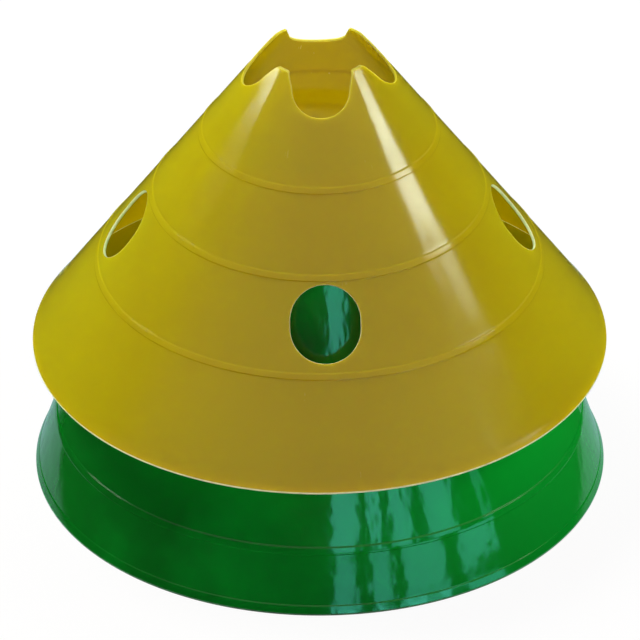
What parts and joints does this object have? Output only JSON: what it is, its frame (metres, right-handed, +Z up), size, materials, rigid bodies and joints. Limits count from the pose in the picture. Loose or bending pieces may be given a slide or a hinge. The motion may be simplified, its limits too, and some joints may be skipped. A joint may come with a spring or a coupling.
{
  "type": "sports marker cone",
  "caption": "Stack of holed plastic marker cones with notched open tops and pole holes; the upper cone lifts straight off the lower one.",
  "frame": {"origin": "centre of the lower rim's underside, on the ground and on the common axis", "axes": "+Z up along the axis of both cones; -Y is the side with the hole that faces the camera; +X to its right"},
  "size_m": [0.3, 0.3, 0.2465],
  "materials": {
    "green_plastic": "smooth gloss, lightly wavy",
    "yellow_plastic": "smooth gloss with fine scuffs"
  },
  "bodies": {
    "lower_cone": {"lower_cone": "green_plastic"},
    "upper_cone": {"upper_cone": "yellow_plastic"}
  },
  "joints": [
    {"name": "upper_cone_lift", "type": "slide", "parent": "lower_cone", "child": "upper_cone", "axis": [0, 0, 1], "range_m": [0, 0.12]}
  ]
}
